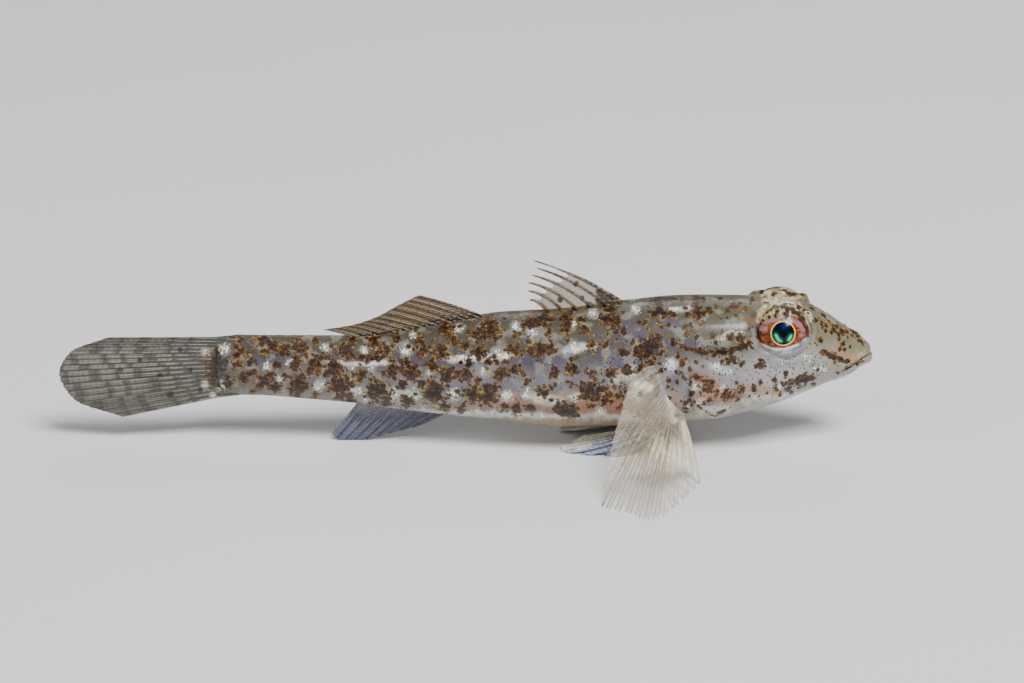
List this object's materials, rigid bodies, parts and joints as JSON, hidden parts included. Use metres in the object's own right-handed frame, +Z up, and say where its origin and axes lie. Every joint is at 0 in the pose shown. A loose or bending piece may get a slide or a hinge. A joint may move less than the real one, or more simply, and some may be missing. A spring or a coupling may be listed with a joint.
{
  "type": "slender sand goby",
  "caption": "Small slender bottom-living fish at rest, with spread fins that prop it on the floor; a life-size still model.",
  "frame": {"origin": "centre of the bounding box at the floor, where the fins rest", "axes": "+X toward the nose, +Y toward the fish's left side, +Z up"},
  "size_m": [0.0506, 0.0248, 0.012],
  "materials": {
    "skin": "pale grey skin with brown spots, moist sheen",
    "eye": "clear glossy eye with a black pupil and a red-orange iris",
    "dorsal_fins": "clear membrane with brown-spotted rays",
    "anal_fin": "clear blue-grey membrane",
    "caudal_fin": "clear grey membrane with fine spotted rays",
    "pectoral_fins": "clear membrane with pale yellowish rays",
    "pelvic_fins": "blue-grey membrane with a white leading edge"
  },
  "bodies": {
    "root": {"head": "skin", "trunk": "skin", "tail": "skin", "eye_right": "eye", "eye_left": "eye", "first_dorsal_fin": "dorsal_fins", "second_dorsal_fin": "dorsal_fins", "anal_fin": "anal_fin", "caudal_fin": "caudal_fin", "pectoral_fin_right": "pectoral_fins", "pectoral_fin_left": "pectoral_fins", "pelvic_fin_right": "pelvic_fins", "pelvic_fin_left": "pelvic_fins"}
  },
  "joints": []
}
